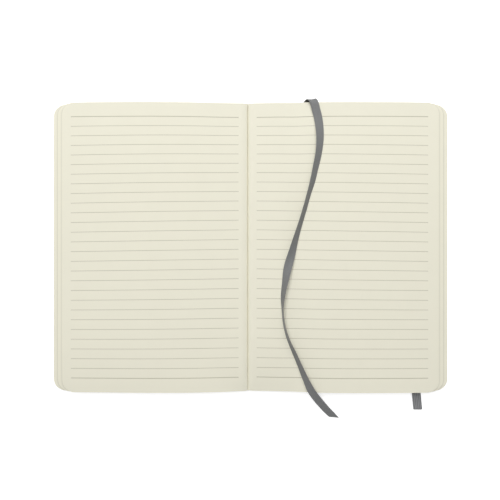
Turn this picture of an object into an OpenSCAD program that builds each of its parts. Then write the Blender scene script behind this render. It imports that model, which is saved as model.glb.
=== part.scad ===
// A soft-cover ruled notebook lying open on its back, in millimetres.
// The origin is under the middle of the spine, +X runs to the right-hand fore-edge,
// +Y runs to the head of the pages and +Z is up.

/* [Leaves] */
// Width of one leaf, from the spine to the fore-edge
page_w = 139; // [110:1:180]
// Height of one leaf, from head to tail
page_h = 210; // [190:1:260]
// Thickness of all the leaves pressed together
block_t = 10.4; // [8:0.2:16]
// Radius of the rounded fore-edge corners
corner_r = 8; // [4:0.5:14]
// Folded sections sewn into each half of the block
sections = 3; // [1:1:5]
// Groups of leaves that step back inside one section
leaf_groups = 4; // [2:1:6]

/* [Open pages] */
// How far the fore-edge slants back from the last leaf to the top one
leaf_fan = 9.6; // [6:0.2:14]
// Extra ledge left between one section and the next
section_ledge = 0.9; // [0.4:0.1:1.6]
// How far the gutter lies from the middle of the spine
gutter_x = -2; // [-3:0.5:3]
// Gap between the two halves down in the gutter
gutter_gap = 0.4; // [0.2:0.1:1]
// How far the fold of the top leaf stands above the lining
gutter_floor = 2.2; // [0.5:0.1:4]
// Width over which a page turns up out of the gutter
shoulder_w = 6; // [4:0.5:8]
// How far the shoulder of the pages stands above the pressed block
shoulder_lift = 0.4; // [0:0.1:1.5]
// Distance of the crown of the pages from the middle of the spine
crown_x = 80; // [60:1:95]
// How far the crown springs up above the pressed block
crown_lift = 3.4; // [1:0.1:5]
// How far the top leaf springs up at its fore-edge
edge_lift = 1.8; // [0.5:0.1:3]

/* [Cover] */
// Thickness of the soft cover
cover_t = 1; // [0.8:0.1:1.6]
// Thickness of an endpaper
endpaper_t = 0.2; // [0.1:0.05:0.4]
// Width left bare at each side of the lining on the spine
lining_margin = 0.4; // [0.3:0.1:1]
// Distance of the lining's ends from the head and the tail
lining_inset = 4; // [1:0.5:12]

/* [Elastic] */
// Width of the elastic band
elastic_w = 6.4; // [4:0.2:10]
// Thickness of the elastic band
elastic_t = 0.6; // [0.4:0.1:0.8]
// Distance of the middle of the elastic from the fore-edge
elastic_inset = 23; // [22:0.5:50]
// How far the slack of the elastic sticks out past the tail
elastic_slack = 15; // [8:0.5:25]
// How far the slack leans towards the fore-edge at its fold
elastic_lean = 1.5; // [0:0.1:3]
// Distance of each slot for the elastic from the head or the tail
slot_inset = 11; // [9:0.5:20]
// Length of each glued end of the elastic
tab_len = 8; // [5:0.5:14]
// Distance over which the cover drops from the elastic to the table
arch_flank = 12; // [8:0.5:16]

/* [Ribbon] */
// Width of the ribbon bookmark
ribbon_w = 6; // [4:0.5:8]
// Thickness of the ribbon bookmark
ribbon_t = 0.3; // [0.2:0.05:0.4]
// Room left round the ribbon where it lies between the leaves
ribbon_room = 0.3; // [0.2:0.05:0.5]

/* [Hidden] */
$fn = 64;
cut_extra = 1;
half_block_t = block_t / 2;
base_z = cover_t + endpaper_t;
spine_w = block_t + 2 * base_z;
half_w = spine_w / 2 + page_w;
pressed_z = base_z + half_block_t;
shoulder_z = pressed_z + shoulder_lift;
crown_z = pressed_z + crown_lift;
edge_z = pressed_z + edge_lift;
gutter_z = base_z + gutter_floor;
top_edge_x = half_w - leaf_fan;
elastic_x = half_w - elastic_inset;

layers = sections * leaf_groups;
group_step = (leaf_fan - section_ledge * (sections - 1)) / (layers - 1);

// Two thicknesses of elastic and the clearances round them lie under the arch of the cover
elastic_gap = 0.06;
arch_z = 2 * elastic_t + 2 * elastic_gap;
elastic_room = 0.4;
arch_flat = elastic_w / 2 + elastic_lean + elastic_room;
slot_w = elastic_w + 2 * elastic_room;
slot_len = 4;
slot_y = page_h / 2 - slot_inset;
rebate_t = elastic_t + elastic_gap;
tab_z = arch_z + cover_t - rebate_t + elastic_t / 2;

paper = "#ece9da";
cloth_grey = "#6f7274";
cover_grey = "#6a6d70";

// The ribbon's route as [x, y, z, face turn, tilt]. The face turn is 180 where the ribbon lies
// face down under the leaves, 90 where it climbs the head edge and 0 where it lies on the page.
ribbon_route = [
    [ 9.8,  97.5,  1.4, 180,  0],
    [17.0,  95.2,  1.4, 180,  0],
    [25.0,  95.4,  1.4, 180,  0],
    [32.6,  98.2,  1.4, 180,  0],
    [38.2, 102.2,  1.4, 180,  0],
    [40.6, 106.0,  1.5, 180,  0],
    [41.6, 107.0,  2.7, 135,  0],
    [42.4, 107.3,  4.5, 100,  0],
    [43.2, 107.3,  6.4,  90,  0],
    [44.0, 107.1,  8.5,  70,  0],
    [44.8, 106.4, 10.2,  40,  4],
    [46.0, 104.0, 10.6,   0,  9],
    [46.8, 100.6, 10.3,   0, 12],
    [48.4,  94.5, 10.2,   0, 10],
    [49.4,  88.3, 10.2,   0, 10],
    [49.9,  78.2, 10.3,   0, 12],
    [49.1,  68.2, 11.4,   0, 35],
    [47.0,  58.1, 11.4,   0, 36],
    [44.7,  48.0, 11.5,   0, 43],
    [41.8,  37.9, 11.8,   0, 55],
    [39.0,  27.8, 11.8,   0, 63],
    [36.0,  17.7, 11.7,   0, 65],
    [32.3,   5.5, 11.2,   0, 50],
    [29.6,  -4.6, 10.3,   0, 28],
    [26.9, -14.7,  9.8,   0, 20],
    [25.0, -24.8, 10.4,   0, 41],
    [23.3, -34.9, 11.0,   0, 65],
    [23.1, -45.0, 11.2,   0, 80],
    [24.6, -57.2, 11.3,   0, 78],
    [26.9, -65.1, 11.4,   0, 73],
    [31.3, -75.2, 11.4,   0, 63],
    [35.7, -85.3, 11.5,   0, 57],
    [40.1, -95.4, 11.3,   0, 43],
    [44.0, -103.4, 11.0,  0, 30],
    [47.2, -108.0, 10.0, -20, 20],
    [50.1, -111.9,  7.6, -32,  8],
    [52.9, -115.5,  5.2, -34,  0],
    [55.7, -118.9,  3.2, -28,  0],
    [58.9, -122.3,  1.8, -16,  0],
    [62.1, -125.3,  1.0,  -8,  0]
];
// The first points of the route lie between the back endpaper and the last leaf
ribbon_hidden = 5;

function unit(v) = v / norm(v);
function tangent(route, i) =
    unit(route[min(i + 1, len(route) - 1)] - route[max(i - 1, 0)]);
function reversed(list) = [for (i = [len(list) - 1 : -1 : 0]) list[i]];

// Height of the top page at a distance u from the gutter. It turns up out of the gutter as a
// quarter ellipse, climbs to the crown as a quarter sine and falls to the fore-edge as a cosine.
function page_z(u, crown_u, edge_u) =
    u < shoulder_w
        ? gutter_z + (shoulder_z - gutter_z) * sqrt(1 - pow(1 - u / shoulder_w, 2))
    : u < crown_u
        ? shoulder_z + (crown_z - shoulder_z) * sin(90 * (u - shoulder_w) / (crown_u - shoulder_w))
    : crown_z - (crown_z - edge_z) * (1 - cos(90 * (u - crown_u) / (edge_u - crown_u)));

// Height of the arch that lets the elastic pass under the back cover, as a raised cosine
function arch_lift(x) =
    let (from_flat = min(max(abs(x - elastic_x) - arch_flat, 0), arch_flank))
    arch_z * (1 + cos(180 * from_flat / arch_flank)) / 2;
function arch_xs() =
    [for (s = [-1, 1], k = [0 : 8])
        elastic_x + s * (arch_flat + arch_flank * (s < 0 ? 8 - k : k) / 8)];
function underside(x, arched) = arched ? arch_lift(x) : 0;

// How far leaf group i steps back from the last leaf
function step_back(i) = i * group_step + floor(i / leaf_groups) * section_ledge;

// A cross-section of the notebook drawn in X and Z, carried along Y
module carried_along_y(length) {
    rotate([90, 0, 0]) linear_extrude(height = length, center = true) children();
}

// A sheet standing on the right of the spine, with its two fore-edge corners rounded
module sheet_outline(inner_x, outer_x) {
    translate([inner_x, -page_h / 2])
        square([outer_x - corner_r - inner_x, page_h]);
    translate([inner_x, corner_r - page_h / 2])
        square([outer_x - inner_x, page_h - 2 * corner_r]);
    for (side = [-1, 1])
        translate([outer_x - corner_r, side * (page_h / 2 - corner_r)]) circle(corner_r);
}

// A sheet of even thickness that follows the arch over the elastic where there is one
module bent_sheet(bottom_z, thickness, arched) {
    xs = concat([spine_w / 2], arched ? arch_xs() : [], [half_w + cut_extra]);
    under = [for (x = xs) [x, bottom_z + underside(x, arched)]];
    over = [for (p = reversed(under)) p + [0, thickness]];
    intersection() {
        carried_along_y(page_h) polygon(concat(under, over));
        translate([0, 0, -cut_extra])
            linear_extrude(height = crown_z + 2 * cut_extra) sheet_outline(spine_w / 2, half_w);
    }
}

// One half of the block. Each group of leaves lies on the group below and ends a step short of it,
// so the fore-edge slants back, with a wider ledge where one section ends.
module half_block(gutter, arched) {
    crown_u = crown_x - gutter;
    edge_u = top_edge_x - gutter;
    start = acos(1 - gutter_gap / 2 / shoulder_w);
    turn_us = [for (k = [0 : 6]) shoulder_w * (1 - cos(start + (90 - start) * k / 6))];
    crown_us = [for (k = [1 : 10]) shoulder_w + (crown_u - shoulder_w) * k / 10];
    fall_us = [for (k = [1 : 6]) crown_u + (half_w - gutter + cut_extra - crown_u) * k / 6];
    us = concat(turn_us, crown_us, fall_us);
    low_xs = concat([gutter + us[0]], arched ? arch_xs() : [], [half_w + cut_extra]);
    low = [for (x = low_xs) [x, base_z + underside(x, arched)]];
    for (i = [0 : layers - 1]) {
        share = (i + 1) / layers;
        high = [for (u = us)
            let (floor_z = base_z + underside(gutter + u, arched))
            [gutter + u, floor_z + (page_z(u, crown_u, edge_u) - floor_z) * share]];
        intersection() {
            carried_along_y(page_h) polygon(concat(low, reversed(high)));
            linear_extrude(height = crown_z + cut_extra)
                sheet_outline(gutter + us[0], half_w - step_back(i));
        }
    }
}

// The flat space where the first stretch of the ribbon lies under the last leaf
module ribbon_slot() {
    hidden = [for (i = [0 : ribbon_hidden]) [ribbon_route[i].x, ribbon_route[i].y]];
    half = ribbon_w / 2 + ribbon_room;
    first = hidden[0] - unit(hidden[1] - hidden[0]) * ribbon_room;
    last = hidden[ribbon_hidden]
        + unit(hidden[ribbon_hidden] - hidden[ribbon_hidden - 1]) * ribbon_w / 2;
    line = concat([first], [for (i = [1 : ribbon_hidden - 1]) hidden[i]], [last]);
    side = [for (i = [0 : ribbon_hidden]) let (t = tangent(line, i)) [-t.y, t.x] * half];
    left = [for (i = [0 : ribbon_hidden]) line[i] + side[i]];
    right = [for (i = [ribbon_hidden : -1 : 0]) line[i] - side[i]];
    translate([0, 0, base_z - cut_extra])
        linear_extrude(height = cut_extra + ribbon_t + 2 * ribbon_room)
            polygon(concat(left, right));
}

// A flat woven strip carried along a route. Each ring is an eight-sided flat section whose width
// runs along widths[i] and whose thickness is square to the width and to the route. Its two flat
// sides are split along the same diagonal, so that it keeps its thickness where it twists.
module strip(route, widths, width, thickness) {
    a = width / 2;
    b = thickness / 2;
    section = [[a, -b / 2], [a, b / 2], [a - b, b], [b - a, b],
        [-a, b / 2], [-a, -b / 2], [b - a, -b], [a - b, -b]];
    n = len(section);
    rings = len(route);
    points = [for (i = [0 : rings - 1])
        let (t = tangent(route, i), w = unit(widths[i] - (widths[i] * t) * t), face = cross(t, w))
        for (c = section) route[i] + w * c.x + face * c.y];
    walls = [for (i = [0 : rings - 2], k = [0 : n - 1])
        let (p = i * n + k, q = i * n + (k + 1) % n)
        each k < n / 2
            ? [[p, p + n, q], [q, p + n, q + n]]
            : [[p, p + n, q + n], [p, q + n, q]]];
    ends = [[for (k = [0 : n - 1]) k], [for (k = [n - 1 : -1 : 0]) (rings - 1) * n + k]];
    polyhedron(points, concat(walls, ends));
}

module front_cover() {
    color(cover_grey) mirror([1, 0, 0]) bent_sheet(0, cover_t, false);
}

module spine_cover() {
    color(cover_grey)
        translate([-spine_w / 2, -page_h / 2, 0]) cube([spine_w, page_h, cover_t]);
}

// The back cover arches over the elastic. It has a slot for each glued end and a shallow seat
// on the head side of the slot.
module back_cover() {
    color(cover_grey) difference() {
        bent_sheet(0, cover_t, true);
        for (side = [-1, 1]) {
            translate([elastic_x - slot_w / 2, side * slot_y - slot_len / 2, -cut_extra])
                cube([slot_w, slot_len, arch_z + cover_t + 2 * cut_extra]);
            translate([elastic_x - slot_w / 2, side * slot_y, arch_z + cover_t - rebate_t])
                cube([slot_w, slot_len / 2 + tab_len + elastic_gap, cover_t]);
        }
    }
}

module front_endpaper() {
    color(paper) mirror([1, 0, 0]) bent_sheet(cover_t, endpaper_t, false);
}

module back_endpaper() {
    color(paper) bent_sheet(cover_t, endpaper_t, true);
}

module spine_lining() {
    lining_w = spine_w - 2 * lining_margin;
    lining_h = page_h - 2 * lining_inset;
    color("#d9d4c4")
        translate([-lining_w / 2, -lining_h / 2, cover_t]) cube([lining_w, lining_h, endpaper_t]);
}

module left_leaves() {
    color(paper) mirror([1, 0, 0]) half_block(-gutter_x, false);
}

module right_leaves() {
    color(paper) difference() {
        half_block(gutter_x, true);
        ribbon_slot();
    }
}

// The band runs flat under the back cover from the head slot, folds back on itself past the tail
// and goes up through the tail slot.
module elastic_band() {
    low_z = elastic_t / 2;
    high_z = low_z + elastic_t + elastic_gap;
    fold_y = -page_h / 2 - elastic_slack + elastic_t;
    fold_r = (high_z - low_z) / 2;
    fold_x = elastic_x + elastic_lean;
    climb = slot_len / 2 - elastic_t;
    head = [[elastic_x, slot_y + slot_len / 2 + tab_len, tab_z], [elastic_x, slot_y + climb, tab_z],
        [elastic_x, slot_y - climb, low_z]];
    run = [[elastic_x, 0, low_z], [elastic_x, -page_h / 2, low_z]];
    fold = [for (a = [-90 : 36 : 90])
        [fold_x, fold_y - fold_r * cos(a), (low_z + high_z) / 2 + fold_r * sin(a)]];
    back = [[elastic_x, -page_h / 2, high_z], [elastic_x, -slot_y - climb, high_z],
        [elastic_x, -slot_y + climb, tab_z], [elastic_x, -slot_y + slot_len / 2 + tab_len, tab_z]];
    route = concat(head, run, fold, back);
    color(cloth_grey) strip(route, [for (p = route) [1, 0, 0]], elastic_w, elastic_t);
}

module ribbon_bookmark() {
    route = [for (p = ribbon_route) [p.x, p.y, p.z]];
    widths = [for (i = [0 : len(route) - 1])
        let (t = tangent(route, i), turn = ribbon_route[i][3], tilt = ribbon_route[i][4],
            level = unit(cross([0, sin(turn), cos(turn)], t)))
        level * cos(tilt) + cross(t, level) * sin(tilt)];
    color(cloth_grey) strip(route, widths, ribbon_w, ribbon_t);
}

front_cover();
spine_cover();
back_cover();
front_endpaper();
back_endpaper();
spine_lining();
left_leaves();
right_leaves();
elastic_band();
ribbon_bookmark();
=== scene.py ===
# A soft-cover ruled notebook that lies open on its back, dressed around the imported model.
# Lengths are in metres. +X runs to the right-hand fore-edge, +Y to the head and +Z up.
import math

import bpy
import numpy as np
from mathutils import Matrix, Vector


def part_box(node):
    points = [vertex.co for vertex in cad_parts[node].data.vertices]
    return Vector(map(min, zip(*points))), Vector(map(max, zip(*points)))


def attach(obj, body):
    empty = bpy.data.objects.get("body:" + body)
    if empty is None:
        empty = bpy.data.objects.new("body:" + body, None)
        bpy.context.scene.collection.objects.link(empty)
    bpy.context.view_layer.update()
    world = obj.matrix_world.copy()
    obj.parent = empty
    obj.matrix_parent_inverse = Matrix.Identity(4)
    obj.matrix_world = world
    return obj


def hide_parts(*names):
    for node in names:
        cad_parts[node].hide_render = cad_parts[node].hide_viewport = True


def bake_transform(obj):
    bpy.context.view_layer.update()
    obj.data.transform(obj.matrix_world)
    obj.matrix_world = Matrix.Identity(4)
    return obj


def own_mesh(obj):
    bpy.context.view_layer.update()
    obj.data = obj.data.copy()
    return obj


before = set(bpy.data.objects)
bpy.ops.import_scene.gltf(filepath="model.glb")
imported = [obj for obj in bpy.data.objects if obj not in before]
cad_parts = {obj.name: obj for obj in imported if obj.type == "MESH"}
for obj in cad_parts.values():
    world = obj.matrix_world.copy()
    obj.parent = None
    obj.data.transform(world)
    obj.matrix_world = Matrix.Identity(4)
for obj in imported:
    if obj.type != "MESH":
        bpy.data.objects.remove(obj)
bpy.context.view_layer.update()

mm = 0.001
scene = bpy.context.scene

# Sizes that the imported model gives
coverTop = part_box("front_cover")[1].z
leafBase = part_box("left_leaves")[0].z
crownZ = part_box("left_leaves")[1].z
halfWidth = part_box("back_cover")[1].x
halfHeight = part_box("back_cover")[1].y
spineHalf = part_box("spine_cover")[1].x
gutter = (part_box("left_leaves")[1].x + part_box("right_leaves")[0].x) / 2
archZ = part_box("back_cover")[1].z - coverTop
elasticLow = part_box("elastic_band")[0]


# Camera, straight above as in the photograph of 500 by 500 pixels

cameraSetup = {
    "place": (-0.4 * mm, -1.75 * mm, 321.8 * mm),
    "lens": 31.2,          # in millimetres, as is the sensor's width
    "sensor": 36.0,
    "clip": (0.01, 20.0),
}


def makeCamera(setup):
    data = bpy.data.cameras.new("camera")
    data.lens = setup["lens"]
    data.sensor_width = setup["sensor"]
    data.clip_start, data.clip_end = setup["clip"]
    camera = bpy.data.objects.new("camera", data)
    camera.location = setup["place"]
    scene.collection.objects.link(camera)
    scene.camera = camera


makeCamera(cameraSetup)
print("camera made")


# Shapes worked out with numpy

def addMesh(name, points, faces, uv, materials, faceMaterial=None, sharpDegrees=35):
    mesh = bpy.data.meshes.new(name)
    mesh.from_pydata(points.tolist(), [], faces, shade_flat=False)
    layer = mesh.uv_layers.new(name="sheet")
    corners = np.zeros(len(mesh.loops), int)
    mesh.loops.foreach_get("vertex_index", corners)
    layer.data.foreach_set("uv", uv[corners].astype(np.float32).ravel())
    for material in materials:
        mesh.materials.append(material)
    if faceMaterial is not None:
        mesh.polygons.foreach_set("material_index", faceMaterial.astype(np.int32))
    mesh.set_sharp_from_angle(angle=math.radians(sharpDegrees))
    mesh.validate()
    piece = bpy.data.objects.new(name, mesh)
    scene.collection.objects.link(piece)
    return piece


# The rows of a sheet from tail to head. A row lies at middle * (half height - corner) +
# turn * corner and reaches outer - corner + bow * corner, so the end rows run round the corners.
def sheetRows(middleCount, cornerCount):
    angle = np.linspace(0, math.pi / 2, cornerCount + 1)[1:]
    flat = np.ones(cornerCount)
    middle = np.concatenate([-flat, np.linspace(-1, 1, middleCount), flat])
    turn = np.concatenate([-np.sin(angle[::-1]), np.zeros(middleCount), np.sin(angle)])
    bow = np.concatenate([np.cos(angle[::-1]), np.ones(middleCount), np.cos(angle)])
    return middle, turn, bow


# A stack of sheet outlines joined ring to ring, with a grid of rows and columns as the lowest and
# the highest face. Each level has its reach from the root, half height, corner radius and share of
# the stack's height. It gives the distance from the root, the place along the page and the share of
# every point, the faces, and how many of the last faces are the top face.
def stackedSheet(reach, height, corner, share, knots, rows):
    middle, turn, bow = rows
    rowCount, columnCount = len(middle), len(knots)
    y = middle * (height - corner)[:, None] + turn * corner[:, None]
    out = (reach - corner)[:, None] + bow * corner[:, None]
    loopRow = np.concatenate([np.zeros(columnCount, int), np.arange(1, rowCount),
                              np.full(columnCount - 1, rowCount - 1),
                              np.arange(rowCount - 2, 0, -1)])
    loopColumn = np.concatenate([np.arange(columnCount), np.full(rowCount - 1, columnCount - 1),
                                 np.arange(columnCount - 2, -1, -1), np.zeros(rowCount - 2, int)])
    ringU, ringY = out[:, loopRow] * knots[loopColumn], y[:, loopRow]
    ringShare = share[:, None] + np.zeros_like(ringU)
    ends = [0, -1]
    capU = out[ends][:, 1:-1, None] * knots[1:-1]
    capY = y[ends][:, 1:-1, None] + np.zeros_like(capU)
    capShare = share[ends][:, None, None] + np.zeros_like(capU)
    u, along, level = (np.concatenate([ring.ravel(), cap.ravel()])
                       for ring, cap in ((ringU, capU), (ringY, capY), (ringShare, capShare)))
    ringCount, loop = ringU.shape
    first = np.arange(ringCount - 1)[:, None] * loop + np.arange(loop)
    second = np.arange(ringCount - 1)[:, None] * loop + np.roll(np.arange(loop), -1)
    walls = np.stack([first, second, second + loop, first + loop], -1).reshape(-1, 4)
    caps = []
    for cap, ring in enumerate((0, ringCount - 1)):
        index = np.empty((rowCount, columnCount), int)
        index[loopRow, loopColumn] = ring * loop + np.arange(loop)
        inner = (rowCount - 2) * (columnCount - 2)
        index[1:-1, 1:-1] = (ringCount * loop + cap * inner
                             + np.arange(inner).reshape(rowCount - 2, columnCount - 2))
        quads = np.stack([index[:-1, :-1], index[:-1, 1:], index[1:, 1:], index[1:, :-1]], -1)
        caps.append(quads.reshape(-1, 4))
    faces = np.concatenate([walls, caps[0][:, ::-1], caps[1]])
    return u, along, level, faces, len(caps[1])


# A smooth line through given points: cubic pieces whose slopes at each point are the mean of
# the two neighbouring chords, weighted by length. Extra columns are carried along.
def smoothLine(points, step):
    chord = np.linalg.norm(np.diff(points[:, :3], axis=0), axis=1)
    at = np.concatenate([[0], np.cumsum(chord)])
    rate = np.diff(points, axis=0) / chord[:, None]
    slope = np.concatenate([rate[:1],
                            (rate[:-1] * chord[1:, None] + rate[1:] * chord[:-1, None])
                            / (chord[1:] + chord[:-1])[:, None], rate[-1:]])
    where = np.linspace(0, at[-1], int(round(at[-1] / step)) + 1)
    k = np.clip(np.searchsorted(at, where, side="right") - 1, 0, len(chord) - 1)
    t = ((where - at[k]) / chord[k])[:, None]
    run = chord[k][:, None]
    return ((2 * t ** 3 - 3 * t ** 2 + 1) * points[k] + (t ** 3 - 2 * t ** 2 + t) * run * slope[k]
            + (3 * t ** 2 - 2 * t ** 3) * points[k + 1] + (t ** 3 - t ** 2) * run * slope[k + 1])


def unit(vectors):
    return vectors / np.linalg.norm(vectors, axis=-1, keepdims=True)


# A flat section: a superellipse of the strip's width and thickness, with ribs as a cosine across
# the width and a hollow that rises with the square of the distance from the middle. The greater
# squareness is, the squarer are its edges.
def flatSection(width, thickness, count, ribs=0, ribDepth=0.0, cup=0.0, squareness=10):
    half = np.sin(np.linspace(-math.pi / 2, math.pi / 2, count))
    edge = (1 - np.abs(half) ** squareness) ** 0.5
    rib = 1 - ribDepth * (1 - np.cos(math.pi * ribs * (half + 1))) / 2
    upper = edge * rib * thickness / 2
    across = np.concatenate([half[::-1], half[1:-1]]) * width / 2
    lift = np.concatenate([upper[::-1], -upper[1:-1]])
    return across, lift + cup * (across / (width / 2)) ** 2


# A strip carried along a line: each ring is the section, laid out on the ring's width and face
# directions. slant shears the last stretch so that the strip is cut at an angle.
def stripMesh(line, wide, section, slant=0.0, slantRun=1 * mm):
    along = unit(np.gradient(line, axis=0))
    wide = unit(wide - (wide * along).sum(1, keepdims=True) * along)
    face = np.cross(along, wide)
    across, lift = section
    points = (line[:, None] + wide[:, None] * across[:, None] + face[:, None] * lift[:, None])
    run = np.concatenate([[0], np.cumsum(np.linalg.norm(np.diff(line, axis=0), axis=1))])
    late = np.clip((run - run[-1] + slantRun) / slantRun, 0, 1)
    points = points + along[:, None] * (slant * late[:, None] * across)[..., None]
    rings, n = points.shape[:2]
    first = np.arange(rings - 1)[:, None] * n + np.arange(n)
    second = np.arange(rings - 1)[:, None] * n + np.roll(np.arange(n), -1)
    faces = np.stack([first, first + n, second + n, second], -1).reshape(-1, 4).tolist()
    faces += [np.arange(n).tolist(), (np.arange(n)[::-1] + (rings - 1) * n).tolist()]
    uv = np.stack([np.broadcast_to(across - across.min(), (rings, n)),
                   np.broadcast_to(run[:, None], (rings, n))], -1).reshape(-1, 2)
    return points.reshape(-1, 3), faces, uv


# Ribbon bookmark

ribbon = {
    "width": 6 * mm,
    "thickness": 0.3 * mm,
    "cup": 0.12 * mm,
    "step": 0.8 * mm,
    "ring": 19,            # points across one face
    "slant": 0.7,          # the end is cut at an angle, by this much of the width
    "slantRun": 4 * mm,
    "flatPlane": (36 * mm, 0, 9.2 * mm),     # a point on the page that it is pressed on when closed
    "pageSlope": 2.7,      # degrees, of the page under it
    "keep": 0.08,          # the part of its height that is left then
}

# Its route as [x, y, z, face turn, tilt], in millimetres and degrees. The face turn is 180 under
# the leaves, 90 where it climbs the head edge and 0 on the page.
ribbonRoute = np.array([
    [9.8, 97.5, 1.4, 180, 0],
    [17.0, 94.6, 1.4, 180, 0],
    [25.0, 93.6, 1.4, 180, 0],
    [32.0, 95.2, 1.4, 180, 0],
    [37.2, 98.6, 1.4, 180, 0],
    [40.3, 102.6, 1.4, 180, 0],
    [41.7, 105.6, 1.5, 180, 0],
    [42.2, 106.8, 2.0, 150, 0],
    [42.5, 107.3, 3.2, 110, 0],
    [42.8, 107.4, 4.9, 92, 0],
    [43.1, 107.4, 6.6, 88, 0],
    [43.6, 107.2, 8.3, 72, 0],
    [44.4, 106.5, 9.8, 45, 3],
    [45.4, 104.9, 10.5, 15, 5],
    [46.1, 103.0, 10.5, 0, 6],
    [46.9, 100.0, 10.2, 0, 5],
    [48.4, 94.5, 9.9, 0, 3],
    [49.4, 88.3, 10.0, 0, -6],
    [49.8, 78.2, 10.6, 0, -20],
    [48.8, 68.2, 11.1, 0, -33],
    [46.7, 58.1, 11.3, 0, -39],
    [44.4, 48.0, 11.4, 0, -45],
    [41.5, 37.9, 11.6, 0, -55],
    [38.7, 27.8, 11.6, 0, -55],
    [35.7, 17.7, 11.4, 0, -54],
    [32.1, 5.5, 10.8, 0, -42],
    [29.5, -4.6, 10.1, 0, -20],
    [26.8, -14.7, 9.7, 0, 17],
    [24.9, -24.8, 10.7, 0, 48],
    [23.3, -34.9, 11.0, 0, 65],
    [23.1, -45.0, 11.2, 0, 80],
    [24.6, -57.2, 11.3, 0, 78],
    [26.9, -65.1, 11.4, 0, 73],
    [31.3, -75.2, 11.4, 0, 63],
    [35.7, -85.3, 11.5, 0, 57],
    [40.1, -95.5, 11.0, 0, 43],
    [44.1, -103.6, 10.4, 0, 24],
    [47.3, -108.2, 9.3, -20, 8],
    [50.1, -111.9, 7.6, -32, 0],
    [52.9, -115.5, 5.2, -34, 0],
    [55.7, -118.9, 3.4, -28, 4],
    [58.9, -122.3, 2.2, -16, 14],
    [61.7, -125.2, 1.7, -8, 26],
])


# At each point the width lies square to the route and to the face direction that the face turn
# gives, and is then turned about the route by the tilt.
def makeRibbon(spec, route, material):
    scaled = route * [mm, mm, mm, math.pi / 180, math.pi / 180]
    fine = smoothLine(scaled, spec["step"])
    line, turn, tilt = fine[:, :3], fine[:, 3], fine[:, 4]
    along = unit(np.gradient(line, axis=0))
    up = np.stack([np.zeros_like(turn), np.sin(turn), np.cos(turn)], 1)
    level = unit(np.cross(up, along))
    wide = level * np.cos(tilt)[:, None] + np.cross(along, level) * np.sin(tilt)[:, None]
    section = flatSection(spec["width"], spec["thickness"], spec["ring"], cup=spec["cup"])
    points, faces, uv = stripMesh(line, wide, section, spec["slant"], spec["slantRun"])
    piece = addMesh("ribbon", points, faces, uv, [material], sharpDegrees=50)
    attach(piece, "back")
    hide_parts("ribbon_bookmark")
    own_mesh(piece)


# Materials: the shared node groups first

def newGroup(name, inputs, outputs):
    group = bpy.data.node_groups.new(name, "ShaderNodeTree")
    for socket, kind, value in inputs:
        made = group.interface.new_socket(name=socket, in_out="INPUT", socket_type=kind)
        if value is not None:
            made.default_value = value
    for socket, kind in outputs:
        group.interface.new_socket(name=socket, in_out="OUTPUT", socket_type=kind)
    return group, group.nodes.new("NodeGroupInput"), group.nodes.new("NodeGroupOutput")


def mathNode(tree, operation, a, b=None, c=None):
    node = tree.nodes.new("ShaderNodeMath")
    node.operation = operation
    for socket, value in zip(node.inputs, (a, b, c)):
        if isinstance(value, bpy.types.NodeSocket):
            tree.links.new(value, socket)
        elif value is not None:
            socket.default_value = value
    return node.outputs[0]


def noiseNode(tree, vector, size, detail=3.0, stretch=(1, 1, 1)):
    place = tree.nodes.new("ShaderNodeMapping")
    place.inputs["Scale"].default_value = [k / size for k in stretch]
    tree.links.new(vector, place.inputs["Vector"])
    node = tree.nodes.new("ShaderNodeTexNoise")
    node.inputs["Scale"].default_value = 1.0
    node.inputs["Detail"].default_value = detail
    tree.links.new(place.outputs[0], node.inputs["Vector"])
    return node.outputs["Fac"]


# Paper: slow clouds in the tone, and fine fibres as a height, a part of them drawn out lengthwise
def paperGroup(grain):
    group, source, result = newGroup(
        "paperFibre", [("Vector", "NodeSocketVector", None), ("Clouds", "NodeSocketFloat", 0.03)],
        [("Tone", "NodeSocketFloat"), ("Height", "NodeSocketFloat")])
    vector = source.outputs["Vector"]
    cloud = noiseNode(group, vector, grain["cloud"], detail=4.0)
    fibre = noiseNode(group, vector, grain["fibre"], detail=2.0)
    longFibre = noiseNode(group, vector, grain["longFibre"], detail=2.0,
                          stretch=(1, grain["draw"], 1))
    shift = mathNode(group, "MULTIPLY", mathNode(group, "SUBTRACT", cloud, 0.5),
                     source.outputs["Clouds"])
    tone = mathNode(group, "ADD", shift, 1.0)
    height = mathNode(group, "ADD", mathNode(group, "MULTIPLY", fibre, 1 - grain["longPart"]),
                      mathNode(group, "MULTIPLY", longFibre, grain["longPart"]))
    group.links.new(tone, result.inputs["Tone"])
    group.links.new(height, result.inputs["Height"])
    return group


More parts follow.
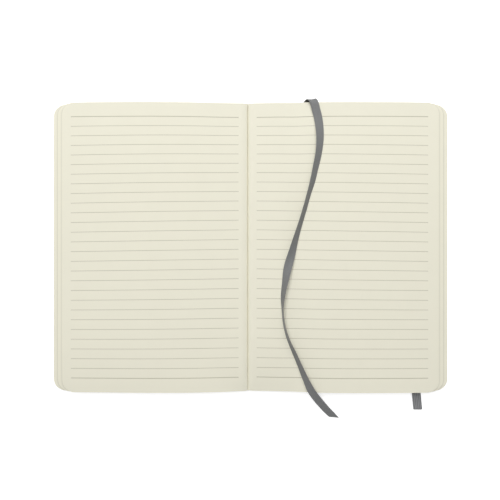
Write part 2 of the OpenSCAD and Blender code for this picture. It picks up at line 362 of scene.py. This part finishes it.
# Printed rules: bands of ink across the page at a steady pitch, kept between two margins. At share t
# of the way down they are drawn towards the head by gather * t * (1 - t) * (lean - t).
def ruleGroup(rules):
    group, source, result = newGroup(
        "pageRules", [("Vector", "NodeSocketVector", None), ("Inner", "NodeSocketFloat", 0.0),
                      ("Outer", "NodeSocketFloat", 0.1)], [("Ink", "NodeSocketFloat")])
    split = group.nodes.new("ShaderNodeSeparateXYZ")
    group.links.new(source.outputs["Vector"], split.inputs[0])
    across, along = split.outputs[0], split.outputs[1]
    down = mathNode(group, "SUBTRACT", halfHeight - rules["head"], along)
    share = mathNode(group, "DIVIDE", down, rules["pitch"] * (rules["count"] - 1))
    bow = mathNode(group, "MULTIPLY", mathNode(group, "SUBTRACT", 1.0, share),
                   mathNode(group, "SUBTRACT", rules["gatherLean"], share))
    atGutter, atEdge = rules["gather"]
    pull = mathNode(group, "MULTIPLY_ADD", across, (atEdge - atGutter) / (halfWidth - spineHalf),
                    atGutter)
    drawn = mathNode(group, "MULTIPLY_ADD", mathNode(group, "MULTIPLY", pull, share), bow, down)
    row = mathNode(group, "DIVIDE", drawn, rules["pitch"])
    nearest = mathNode(group, "ROUND", row)
    gap = mathNode(group, "MULTIPLY",
                   mathNode(group, "ABSOLUTE", mathNode(group, "SUBTRACT", row, nearest)),
                   rules["pitch"])
    isFirst = mathNode(group, "LESS_THAN", nearest, 0.5)
    isLast = mathNode(group, "GREATER_THAN", nearest, rules["count"] - 1.5)
    bold = mathNode(group, "MAXIMUM", isFirst, isLast)
    half = mathNode(group, "MULTIPLY_ADD", bold, (rules["boldWidth"] - rules["width"]) / 2,
                    rules["width"] / 2)
    line = mathNode(group, "LESS_THAN", gap, half)
    inRange = mathNode(group, "MULTIPLY", mathNode(group, "GREATER_THAN", nearest, -0.5),
                       mathNode(group, "LESS_THAN", nearest, rules["count"] - 0.5))
    inMargins = mathNode(group, "MULTIPLY",
                         mathNode(group, "GREATER_THAN", across, source.outputs["Inner"]),
                         mathNode(group, "LESS_THAN", across, source.outputs["Outer"]))
    ink = mathNode(group, "MULTIPLY", line, mathNode(group, "MULTIPLY", inRange, inMargins))
    group.links.new(ink, result.inputs["Ink"])
    return group


# Woven thread: lengthwise cords and crosswise picks as two cosine waves, with a little unevenness
# from a noise. Cords and Picks are how many there are in a metre.
def weaveGroup(noise):
    group, source, result = newGroup(
        "wovenThread", [("Vector", "NodeSocketVector", None), ("Cords", "NodeSocketFloat", 3000.0),
                        ("Picks", "NodeSocketFloat", 4000.0), ("Balance", "NodeSocketFloat", 0.5)],
        [("Height", "NodeSocketFloat")])
    split = group.nodes.new("ShaderNodeSeparateXYZ")
    group.links.new(source.outputs["Vector"], split.inputs[0])
    waves = []
    for axis, rate in ((0, "Cords"), (1, "Picks")):
        turn = mathNode(group, "MULTIPLY", split.outputs[axis], source.outputs[rate])
        wave = mathNode(group, "COSINE", mathNode(group, "MULTIPLY", turn, 2 * math.pi))
        waves.append(mathNode(group, "MULTIPLY_ADD", wave, 0.5, 0.5))
    uneven = noiseNode(group, source.outputs["Vector"], noise["size"], stretch=noise["stretch"])
    cords = mathNode(group, "MULTIPLY", waves[0], source.outputs["Balance"])
    picks = mathNode(group, "MULTIPLY", waves[1],
                     mathNode(group, "SUBTRACT", 1.0, source.outputs["Balance"]))
    height = mathNode(group, "ADD", mathNode(group, "ADD", cords, picks),
                      mathNode(group, "MULTIPLY", uneven, noise["part"]))
    group.links.new(height, result.inputs["Height"])
    return group


# A material with these sockets set on its shader. Their names have _ for a space.
def startMaterial(name, **sockets):
    material = bpy.data.materials.new(name)
    material.use_nodes = True
    shader = material.node_tree.nodes["Principled BSDF"]
    for socket, value in sockets.items():
        shader.inputs[socket.replace("_", " ")].default_value = value
    return material, material.node_tree, shader


def useGroup(tree, group, vector, **values):
    node = tree.nodes.new("ShaderNodeGroup")
    node.node_tree = group
    tree.links.new(vector, node.inputs["Vector"])
    for socket, value in values.items():
        node.inputs[socket].default_value = value
    return node


def uvVector(tree):
    node = tree.nodes.new("ShaderNodeUVMap")
    node.uv_map = "sheet"
    return node.outputs["UV"]


def objectVector(tree):
    return tree.nodes.new("ShaderNodeTexCoord").outputs["Object"]


def tinted(tree, color, tone):
    node = tree.nodes.new("ShaderNodeMix")
    node.data_type = "RGBA"
    node.blend_type = "MULTIPLY"
    node.inputs["Factor"].default_value = 1.0
    if isinstance(color, bpy.types.NodeSocket):
        tree.links.new(color, node.inputs["A"])
    else:
        node.inputs["A"].default_value = color
    tree.links.new(tone, node.inputs["B"])
    return node.outputs["Result"]


def mixed(tree, factor, a, b):
    node = tree.nodes.new("ShaderNodeMix")
    node.data_type = "RGBA"
    for socket, value in (("Factor", factor), ("A", a), ("B", b)):
        if isinstance(value, bpy.types.NodeSocket):
            tree.links.new(value, node.inputs[socket])
        else:
            node.inputs[socket].default_value = value
    return node.outputs["Result"]


def bumped(tree, shader, height, depth, strength=1.0):
    node = tree.nodes.new("ShaderNodeBump")
    node.inputs["Strength"].default_value = strength
    node.inputs["Distance"].default_value = depth
    tree.links.new(height, node.inputs["Height"])
    tree.links.new(node.outputs["Normal"], shader.inputs["Normal"])


# A colour written as the red, green and blue of a picture, from 0 to 255, in linear light
def picked(red, green, blue):
    value = np.array([red, green, blue]) / 255
    linear = np.where(value > 0.04045, ((value + 0.055) / 1.055) ** 2.4, value / 12.92)
    return (*linear.tolist(), 1.0)


pageRules = {
    "count": 28,
    "pitch": 7 * mm,
    "head": 10.4 * mm,       # from the head edge to the first rule
    "width": 0.34 * mm,
    "boldWidth": 0.5 * mm,   # the first and the last rule
    # how strongly the middle rules lie nearer to the head, at the gutter and at the fore-edge
    "gather": (9.4 * mm, 1.3 * mm),
    "gatherLean": 1.48,
    "margins": {"left": (6.7 * mm, 128 * mm), "right": (6.4 * mm, 130.4 * mm)},
    "ink": picked(190, 185, 166),
}
paper = {
    "page": picked(240, 237, 219),
    "edge": picked(225, 222, 209),
    "finish": {"Roughness": 0.88, "Specular_IOR_Level": 0.25},
    # how strong the clouds are in the tone, and the height of the fibres
    "clouds": {"page": 0.03, "plain": 0.08},
    "relief": {"page": 0.012 * mm, "plain": 0.015 * mm},
    "grain": {"cloud": 14 * mm, "fibre": 0.35 * mm, "longFibre": 0.5 * mm, "draw": 0.25,
              "longPart": 0.4},
    "paintedShadeDark": 0.4,      # how much darker the painted shade makes a crevice at its deepest
    "paintedShadeFall": 3.0,      # how fast that painted shade fades outwards, as a power
}
threadNoise = {"size": 1.2 * mm, "stretch": (2, 0.5, 1), "part": 0.4}

# The woven finishes. cords and picks are how many there are in a metre, balance is the cords' part in
# the height, and tone is how much the height adds to the colour's share and where that share starts:
# painted shade in the weave's hollows and painted highlight on its crests.
ribbonWeave = {
    "color": picked(120, 121, 121),
    "cords": 5000.0,
    "picks": 3600.0,
    "balance": 0.35,
    "tone": (0.35, 0.755),
    "relief": 0.03 * mm,
    "finish": {"Roughness": 0.6, "Specular_IOR_Level": 0.4, "Sheen_Weight": 0.15,
               "Sheen_Roughness": 0.4},
}
elasticWeave = {
    "color": picked(128, 129, 131),
    "cords": 781.25,         # one for each of the five ribs
    "picks": 2900.0,
    "balance": 0.75,
    "tone": (0.75, 0.475),
    "relief": 0.05 * mm,
    "finish": {"Roughness": 0.6, "Specular_IOR_Level": 0.4, "Sheen_Weight": 0.1,
               "Sheen_Roughness": 0.4},
}
liningWeave = {
    "color": picked(222, 216, 198),
    "cords": 900.0,
    "picks": 900.0,
    "balance": 0.5,
    "tone": (0.4, 0.7),
    "relief": 0.06 * mm,
    "finish": {"Roughness": 0.9, "Specular_IOR_Level": 0.2},
}
coverLook = {
    "color": picked(96, 99, 103),
    "dark": picked(78, 80, 84),
    "grain": 0.55 * mm,      # width of a cell of the embossed grain
    "slow": 9 * mm,          # size of the slow change in colour and roughness
    "fine": 0.25 * mm,
    "finePart": 0.3,
    "roughness": (0.52, 0.68),
    "specular": 0.4,
    "relief": 0.05 * mm,
    "reliefStrength": 0.7,
}

fibre = paperGroup(paper["grain"])
rulePrint = ruleGroup(pageRules)
weave = weaveGroup(threadNoise)


# Painted shade: darkens a colour where a ledge of paper runs in under the section above it, standing
# in for the shade in that crevice
def withPaintedShade(tree, color):
    mark = tree.nodes.new("ShaderNodeAttribute")
    mark.attribute_name = "paintedCreviceShade"
    deep = mathNode(tree, "POWER", mark.outputs["Fac"], paper["paintedShadeFall"])
    return tinted(tree, color, mathNode(tree, "MULTIPLY_ADD", deep, -paper["paintedShadeDark"], 1.0))


def ruledPaper(side):
    material, tree, shader = startMaterial(f"ruledPaper_{side}", **paper["finish"])
    vector = uvVector(tree)
    look = useGroup(tree, fibre, vector, Clouds=paper["clouds"]["page"])
    inner, outer = pageRules["margins"][side]
    ink = useGroup(tree, rulePrint, vector, Inner=inner, Outer=outer).outputs["Ink"]
    page = tinted(tree, paper["page"], look.outputs["Tone"])
    printed = mixed(tree, ink, page, pageRules["ink"])
    tree.links.new(withPaintedShade(tree, printed), shader.inputs["Base Color"])
    bumped(tree, shader, look.outputs["Height"], paper["relief"]["page"])
    return material


def plainPaper(name, color, vectorOf):
    material, tree, shader = startMaterial(name, **paper["finish"])
    look = useGroup(tree, fibre, vectorOf(tree), Clouds=paper["clouds"]["plain"])
    tree.links.new(tinted(tree, color, look.outputs["Tone"]), shader.inputs["Base Color"])
    bumped(tree, shader, look.outputs["Height"], paper["relief"]["plain"])
    return material


# Painted highlight and shade: the thread is painted lighter where the weave stands up and darker in
# its hollows
def wovenCloth(name, spec, vectorOf=uvVector):
    material, tree, shader = startMaterial(name, **spec["finish"])
    height = useGroup(tree, weave, vectorOf(tree), Cords=spec["cords"], Picks=spec["picks"],
                      Balance=spec["balance"]).outputs["Height"]
    tone = mathNode(tree, "MULTIPLY_ADD", height, *spec["tone"])
    tree.links.new(tinted(tree, spec["color"], tone), shader.inputs["Base Color"])
    bumped(tree, shader, height, spec["relief"])
    return material


def softCover(spec):
    smooth, dull = spec["roughness"]
    material, tree, shader = startMaterial("softCover", Specular_IOR_Level=spec["specular"])
    vector = uvVector(tree)
    cell = tree.nodes.new("ShaderNodeTexVoronoi")
    cell.feature = "SMOOTH_F1"
    cell.inputs["Scale"].default_value = 1 / spec["grain"]
    tree.links.new(vector, cell.inputs["Vector"])
    slow = noiseNode(tree, vector, spec["slow"], detail=4.0)
    fine = noiseNode(tree, vector, spec["fine"], detail=2.0)
    height = mathNode(tree, "MULTIPLY_ADD", fine, spec["finePart"], cell.outputs["Distance"])
    tree.links.new(mixed(tree, slow, spec["dark"], spec["color"]), shader.inputs["Base Color"])
    rough = mathNode(tree, "MULTIPLY_ADD", slow, dull - smooth, smooth)
    tree.links.new(rough, shader.inputs["Roughness"])
    bumped(tree, shader, height, spec["relief"], spec["reliefStrength"])
    return material


ribbonCloth = wovenCloth("ribbonSatin", ribbonWeave)
elasticCloth = wovenCloth("elasticKnit", elasticWeave)
edgePaper = plainPaper("cutEdgePaper", paper["edge"], uvVector)
endPaper = plainPaper("endPaper", paper["page"], objectVector)
coverSkin = softCover(coverLook)
print("materials made")

makeRibbon(ribbon, ribbonRoute, ribbonCloth)


# Elastic closing band

elastic = {
    "width": 6.4 * mm,
    "thickness": 0.6 * mm,
    "ribs": 5,
    "ribDepth": 0.5,
    "gap": 0.06 * mm,        # between its two layers, and over its glued ends
    "slack": 15 * mm,        # how far the loop passes the tail edge
    "lean": 1.5 * mm,        # how far it leans towards the fore-edge there
    "slotY": 94 * mm,
    "climb": 1.4 * mm,       # half the length over which it climbs through a slot
    "straight": 2 * mm,      # kept level on each side of that
    "tab": 10 * mm,          # from the middle of a slot to a glued end
    "run": np.linspace(80 * mm, -80 * mm, 9),    # points of the level run between the slots
    "edgeRoom": 1 * mm,      # the loop starts this far inside the tail edge
    "legs": np.linspace(0, 0.96, 6),             # points of its two layers, as parts of its length
    "foldPoints": 9,
    "step": 0.6 * mm,
    "ring": 57,              # points across one face
}


# From its glued end at the head the band goes down through the slot, runs under the cover and out
# past the tail edge, folds over in a half circle, and comes back up through the other slot.
def makeElastic(spec, material):
    t, gap = spec["thickness"], spec["gap"]
    x = elasticLow.x + spec["width"] / 2
    low, high = t / 2, t * 1.5 + gap
    tabZ = archZ + coverTop - gap - t / 2
    foldY = -halfHeight - spec["slack"] + t
    r = (high - low) / 2
    turn = np.linspace(-math.pi / 2, math.pi / 2, spec["foldPoints"])
    fold = np.stack([x + spec["lean"] + 0 * turn, foldY - r * np.cos(turn),
                     (low + high) / 2 + r * np.sin(turn)], 1)
    slot, climb, tab = spec["slotY"], spec["climb"], spec["tab"]
    level = climb + spec["straight"]
    clear = halfHeight - spec["edgeRoom"]
    head = [[x, slot + tab, tabZ], [x, slot + level, tabZ], [x, slot + climb, tabZ],
            [x, slot - climb, low], [x, slot - level, low]]
    run = [[x, y, low] for y in spec["run"]]
    share = spec["legs"]
    out = np.stack([x + spec["lean"] * share, -clear + (foldY + clear) * share, low + 0 * share], 1)
    home = out[::-1] + [0, 0, high - low]
    back = [[x, -slot - level, high], [x, -slot - climb, high],
            [x, -slot + climb, tabZ], [x, -slot + level, tabZ], [x, -slot + tab, tabZ]]
    line = smoothLine(np.concatenate([head, run, out, fold, home, back]), spec["step"])
    wide = np.tile([1.0, 0, 0], (len(line), 1))
    section = flatSection(spec["width"], t, spec["ring"], spec["ribs"], spec["ribDepth"])
    points, faces, uv = stripMesh(line, wide, section)
    piece = addMesh("elastic", points, faces, uv, [material], sharpDegrees=60)
    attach(piece, "back")
    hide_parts("elastic_band")
    print("elastic made")


makeElastic(elastic, elasticCloth)


# Leaves

leaves = {
    "perHalf": 48,
    "sections": 3,
    "fan": 9.6 * mm,         # from the lowest leaf's fore-edge to the top leaf's
    "ledge": 2.6 * mm,       # extra step between two sections
    "bulge": 1.6,            # how round the fore-edge of one section is
    "corner": 8 * mm,
    "shoulder": 5.8 * mm,    # width over which a page turns up out of the gutter
    "shoulderZ": 6.8 * mm,
    "foldGap": 0.04 * mm,    # between the two halves in the gutter
    "foldLift": 3.0 * mm,    # how far the top leaf's fold stands above the lining
    "foldRise": 7,           # how fast the folds of the topmost leaves rise to it
    "crownX": 80 * mm,
    "edgeZ": 8.2 * mm,
    "merge": 30 * mm,        # from here the leaves lie straight above each other
    "air": 0.25,             # share of a leaf's room that is air
    "sectionAir": 0.65,
    "underCut": 0.2 * mm,    # how deep the air shows between two leaves
    "sectionCut": 0.6 * mm,
    "uneven": 0.05 * mm,
    "hinge": 1.0 * mm,       # width over which a half bends at the cover's fold
    "thinnest": 0.004,       # share of the stack at which the lowest leaf starts
    "rows": (36, 8),         # how many between the corners, and round each of them
    # its columns: how many in the shoulder, where in the hinge as parts of its width, where beside
    # it, from where on they are even and how many, and how near to each other they may come
    "columns": {"shoulder": 12, "hinge": np.linspace(-0.2, 1.2, 9), "near": np.arange(7, 12) * mm,
                "even": (13.5 * mm, 34), "closest": 0.08 * mm},
    # soft hollows of the open page: distance from the gutter, width and depth
    "hollows": {"left": [(22 * mm, 12 * mm, 0.25 * mm), (95 * mm, 20 * mm, 0.15 * mm)],
                "right": [(34 * mm, 8 * mm, 0.8 * mm), (90 * mm, 18 * mm, 0.2 * mm)]},
    # how the page sinks at the tail: share of its height, run up the page, distance from the
    # gutter and width
    "tailDips": {"left": [(0.15, 36 * mm, 110 * mm, 60 * mm), (0.32, 26 * mm, 0, 15 * mm)],
                 "right": [(0.45, 38 * mm, 4 * mm, 34 * mm)]},
}
# The arch over the elastic: half the width of its flat top, the width of a flank, and how far its
# middle lies from the fore-edge
archSpan = {"flat": 5.1 * mm, "flank": 12 * mm, "fromEdge": 23 * mm}


# Height of the cover's arch over the elastic: a raised cosine on each flank
def archLift(x):
    away = np.abs(x - (halfWidth - archSpan["fromEdge"])) - archSpan["flat"]
    return archZ * (1 + np.cos(math.pi * np.clip(away / archSpan["flank"], 0, 1))) / 2


# Height of the leaf at share f of the stack as if it were the top one: a quarter ellipse out of the
# gutter, a quarter sine up to the crown and a cosine down to the fore-edge, less two soft hollows
# that fall off as a bell curve, and less a share of it that grows as a square towards the tail. Its
# fold lies on the lining, and only the topmost folds rise.
def pageHeight(u, along, f, root, side):
    spec = leaves
    rootZ = leafBase + spec["foldLift"] * f ** spec["foldRise"]
    crownU = spec["crownX"] - root
    edgeU = halfWidth - spec["fan"] - root
    turn = np.clip(u / spec["shoulder"], 0, 1)
    climb = np.clip((u - spec["shoulder"]) / (crownU - spec["shoulder"]), 0, 1)
    fall = np.clip((u - crownU) / (edgeU - crownU), 0, 1.5)
    height = (rootZ + (spec["shoulderZ"] - rootZ) * np.sqrt(1 - (1 - turn) ** 2)
              + (crownZ - spec["shoulderZ"]) * np.sin(math.pi / 2 * climb)
              - (crownZ - spec["edgeZ"]) * (1 - np.cos(math.pi / 2 * fall)))
    for at, width, depth in spec["hollows"][side]:
        height = height - depth * np.exp(-((u - at) / width) ** 2)
    for part, run, at, width in spec["tailDips"][side]:
        sunk = part * np.clip(1 - (along + halfHeight) / run, 0, 1) ** 2
        height = height - sunk * (height - leafBase) * np.exp(-((u - at) / width) ** 2)
    return height


# A leaf at share f of the stack runs between the cover's path and the top page's path. The cover's
# path starts at the fold, so every leaf turns down to its own root, one beside the next.
def leafPlace(u, along, f, root, side):
    merge = leaves["merge"]
    far = 2 * halfWidth
    coverX = np.interp(u, [0, leaves["shoulder"], merge, far],
                       [spineHalf, spineHalf, root + merge, root + far])
    floor = leafBase + (archLift(coverX) if side == "right" else 0)
    x = (1 - f) * coverX + f * (root + u)
    return x, (1 - f) * floor + f * pageHeight(u, along, f, root, side)


# The fore-edge steps back leaf by leaf. Inside a section the step grows with the leaf's place to a
# power, so each section ends in a round nose, and a ledge parts it from the next.
def stepBack(index):
    spec = leaves
    perSection = spec["perHalf"] // spec["sections"]
    section, place = index // perSection, (index % perSection) / (perSection - 1)
    run = (spec["fan"] - spec["ledge"] * (spec["sections"] - 1)) / spec["sections"]
    return section * (run + spec["ledge"]) + run * place ** spec["bulge"]


# Columns of a half: dense where the page turns up and where the half bends at the fold
def leafKnots(root, reach):
    spec = leaves["columns"]
    quarter = np.linspace(0, math.pi / 2, spec["shoulder"])
    turn = leaves["shoulder"] * (1 - np.cos(quarter))
    hinge = spineHalf - root + spec["hinge"] * leaves["hinge"]
    start, count = spec["even"]
    even = np.linspace(start, reach, count)
    knots = np.unique(np.concatenate([turn, hinge, spec["near"], even]))
    keep = np.concatenate([[True], np.diff(knots) > spec["closest"]])
    return knots[keep] / knots[-1]


# Each leaf has four outlines: two for the cut of air under it and two for its own cut edge. Its
# reach and its height vary a little at random.
def makeLeaves(side, root, node, seed):
    spec = leaves
    count = spec["perHalf"]
    draw = np.random.default_rng(seed)
    index = np.arange(count)
    reach = halfWidth - stepBack(index) - root + draw.normal(0, spec["uneven"], count)
    reach[0] = halfWidth - root
    height = halfHeight - np.abs(draw.normal(0, spec["uneven"], count))
    air = np.where(index % (count // spec["sections"]) == 0, spec["sectionAir"], spec["air"])
    under, over = (index + air) / count, (index + 1) / count
    below = np.maximum(index / count, spec["thinnest"])
    starts = (index % (count // spec["sections"]) == 0) & (index > 0)
    cut = np.where(starts, spec["sectionCut"], spec["underCut"])
    cuts = np.stack([cut, cut, 0 * cut, 0 * cut], 1).ravel()
    levels = [np.repeat(reach, 4) - cuts, np.repeat(height, 4) - np.minimum(cuts, spec["underCut"]),
              spec["corner"] - cuts, np.stack([below, under, under, over], 1).ravel()]
    knots = leafKnots(root, reach[-1])
    rows = sheetRows(*spec["rows"])
    u, along, f, faces, topCount = stackedSheet(*levels, knots, rows)
    x, z = leafPlace(u, along, f, root, side)
    if side == "left":
        x, faces = -x, faces[:, ::-1]
    points = np.stack([x, along, z], 1)
    loop = 2 * (len(rows[0]) + len(knots)) - 4
    number = np.arange(len(faces))
    wall = number < len(faces) - 2 * topCount
    page = (number >= len(faces) - topCount) | (wall & (number // loop % 4 == 3))
    piece = addMesh(f"leaves_{side}", points, faces.tolist(), np.stack([u, along], 1),
                    [ruledPaper(side), edgePaper], np.where(page, 0, 1))
    # Painted shade: 1 on the undercut rings of each leaf that starts a section and 0 elsewhere, so
    # the paper is painted darker in the crevice under that section
    paintedCreviceShade = np.zeros(len(points))
    paintedCreviceShade[:4 * count * loop] = np.repeat(np.repeat(starts, 4) * np.tile([1, 1, 0, 0], count), loop)
    mark = piece.data.attributes.new("paintedCreviceShade", "FLOAT", "POINT")
    mark.data.foreach_set("value", paintedCreviceShade.astype(np.float32))
    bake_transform(piece)
    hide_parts(node)
    print(f"{side} leaves made, {len(points)} points")


makeLeaves("left", leaves["foldGap"] / 2 - gutter, "left_leaves", 11)
makeLeaves("right", leaves["foldGap"] / 2 + gutter, "right_leaves", 12)


# Soft cover, in two halves that meet in the middle of the spine

cover = {
    "corner": 8 * mm,
    "edgeRound": 0.35 * mm,
    "roundPoints": 5,
    "rows": (30, 10),        # how many between the corners, and round each of them
    # its columns: where up to the arch, where in the hinge as parts of its width, and from where on
    # they are even and how many
    "columns": {"plain": np.concatenate([[0, 2, 4], np.arange(8, 100, 5)]) * mm,
                "hinge": np.linspace(-0.6, 0.8, 9), "even": (100 * mm, 32)},
    "hinge": 1.0 * mm,       # width over which it bends at the fold
    "slotLength": 4 * mm,
    "slotRoom": 0.4 * mm,    # on each side of the elastic
    "cutReach": (-1 * mm, 4 * mm),               # heights from under the cover to above it
}


# A sheet whose rims are rounded as quarter circles. The right-hand one is lifted by the arch.
def makeCover(side, nodes, material):
    spec = cover
    arc = np.linspace(0, math.pi / 2, spec["roundPoints"])
    edge = spec["edgeRound"]
    inset = edge * (1 - np.sin(arc))
    rise = edge * (1 - np.cos(arc))
    cuts = np.concatenate([inset, inset[::-1]])
    share = np.concatenate([rise, coverTop - rise[::-1]]) / coverTop
    reach = halfWidth - cuts
    columns = spec["columns"]
    hinge = spineHalf + columns["hinge"] * spec["hinge"]
    start, count = columns["even"]
    even = np.linspace(start, halfWidth, count)
    knots = np.unique(np.concatenate([columns["plain"], hinge, even])) / halfWidth
    u, along, level, faces, _ = stackedSheet(reach, halfHeight - cuts, spec["corner"] - cuts,
                                             share, knots, sheetRows(*spec["rows"]))
    x, z = u, level * coverTop
    if side == "right":
        z = z + archLift(u)
    else:
        x, faces = -x, faces[:, ::-1]
    points = np.stack([x, along, z], 1)
    piece = addMesh(f"cover_{side}", points, faces.tolist(), np.stack([x, along], 1), [material])
    if side == "right":
        cutSlots(piece)
    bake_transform(piece)
    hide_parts(*nodes)
    print(f"{side} cover made")


# The slots that the elastic goes through, and the shallow seats of its glued ends
def cutSlots(piece):
    x = elasticLow.x + elastic["width"] / 2
    half = elastic["width"] / 2 + cover["slotRoom"]
    slot, seat = cover["slotLength"] / 2, elastic["tab"] + elastic["gap"]
    under, over = cover["cutReach"]
    seatZ = archZ + coverTop - elastic["thickness"] - elastic["gap"]
    boxes = []
    for middle in (-elastic["slotY"], elastic["slotY"]):
        boxes.append(([x - half, middle - slot, under], [x + half, middle + slot, over]))
        boxes.append(([x - half, middle, seatZ], [x + half, middle + seat, over]))
    for number, (low, high) in enumerate(boxes):
        corner = np.array([[a, b, c] for c in (0, 1) for b in (0, 1) for a in (0, 1)])
        points = np.where(corner == 1, high, low)
        faces = [[0, 2, 3, 1], [4, 5, 7, 6], [0, 1, 5, 4], [2, 6, 7, 3], [0, 4, 6, 2], [1, 3, 7, 5]]
        mesh = bpy.data.meshes.new(f"slotCutter{number}")
        mesh.from_pydata(points.tolist(), [], faces)
        cutter = bpy.data.objects.new(f"slotCutter{number}", mesh)
        scene.collection.objects.link(cutter)
        modifier = piece.modifiers.new("slot", "BOOLEAN")
        modifier.object, modifier.operation, modifier.solver = cutter, "DIFFERENCE", "EXACT"
        bpy.context.view_layer.update()
        cut = bpy.data.meshes.new_from_object(
            piece.evaluated_get(bpy.context.evaluated_depsgraph_get()))
        piece.modifiers.clear()
        piece.data = cut
        bpy.data.objects.remove(cutter)


makeCover("left", ["front_cover", "spine_cover"], coverSkin)
makeCover("right", ["back_cover"], coverSkin)


# Endpapers and the spine's lining keep their CAD shape

def dress(node, material):
    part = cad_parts[node]
    part.data.materials.clear()
    part.data.materials.append(material)


for name in ("front_endpaper", "back_endpaper"):
    dress(name, endPaper)
dress("spine_lining", wovenCloth("spineCloth", liningWeave, objectVector))


# Floor and light

studio = {
    "floorSize": 3.0,
    "worldStrength": 0.31,
    "lamps": {               # place, size and power of each
        "key": ((-0.5, 0.75, 2.25), 1.3, 18.0),
        "head": ((0.0, 0.68, 0.8), 0.8, 5.6),
    },
    "floorTone": 0.8,        # of the table as it lights the notebook
    "shownTone": 0.9,        # of the table as the camera sees it
    "floorGlow": 0.56,       # what the camera sees there besides the light that falls on it
}


# 1 for the rays that show the background to the camera, straight or by a mirror or glass
def seenRay(tree):
    ray = tree.nodes.new("ShaderNodeLightPath")
    seen = mathNode(tree, "MAXIMUM", ray.outputs["Is Camera Ray"], ray.outputs["Is Glossy Ray"])
    return mathNode(tree, "MAXIMUM", seen, ray.outputs["Is Transmission Ray"])


def makeFloor(spec):
    half = spec["floorSize"] / 2
    mesh = bpy.data.meshes.new("floor")
    mesh.from_pydata([(-half, -half, 0), (half, -half, 0), (half, half, 0), (-half, half, 0)], [],
                     [(0, 1, 2, 3)])
    floor = bpy.data.objects.new("floor", mesh)
    scene.collection.objects.link(floor)
    material = bpy.data.materials.new("whiteTable")
    material.use_nodes = True
    tree = material.node_tree
    tree.nodes.clear()
    result = tree.nodes.new("ShaderNodeOutputMaterial")
    plain = tree.nodes.new("ShaderNodeBsdfDiffuse")
    plain.inputs["Color"].default_value = [spec["floorTone"]] * 3 + [1]
    shown = tree.nodes.new("ShaderNodeBsdfDiffuse")
    shown.inputs["Color"].default_value = [spec["shownTone"]] * 3 + [1]
    glow = tree.nodes.new("ShaderNodeEmission")
    glow.inputs["Strength"].default_value = spec["floorGlow"]
    both = tree.nodes.new("ShaderNodeAddShader")
    tree.links.new(shown.outputs[0], both.inputs[0])
    tree.links.new(glow.outputs[0], both.inputs[1])
    pick = tree.nodes.new("ShaderNodeMixShader")
    tree.links.new(seenRay(tree), pick.inputs[0])
    tree.links.new(plain.outputs[0], pick.inputs[1])
    tree.links.new(both.outputs[0], pick.inputs[2])
    tree.links.new(pick.outputs[0], result.inputs["Surface"])
    mesh.materials.append(material)


def makeLights(spec):
    for name, (place, size, power) in spec["lamps"].items():
        data = bpy.data.lights.new(name, "AREA")
        data.shape = "DISK"
        data.size = size
        data.energy = power
        light = bpy.data.objects.new(name, data)
        light.location = place
        aim = -light.location.copy()
        light.rotation_euler = aim.to_track_quat("-Z", "Y").to_euler()
        scene.collection.objects.link(light)
    world = bpy.data.worlds.new("studio")
    world.use_nodes = True
    tree = world.node_tree
    background = tree.nodes["Background"]
    background.inputs["Color"].default_value = (1, 1, 1, 1)
    # white where it is seen, and dimmer as a light
    strength = mathNode(tree, "MULTIPLY_ADD", seenRay(tree), 1 - spec["worldStrength"],
                        spec["worldStrength"])
    tree.links.new(strength, background.inputs["Strength"])
    scene.world = world


makeFloor(studio)
makeLights(studio)
scene.view_settings.view_transform = "Standard"
print("floor and lights made")
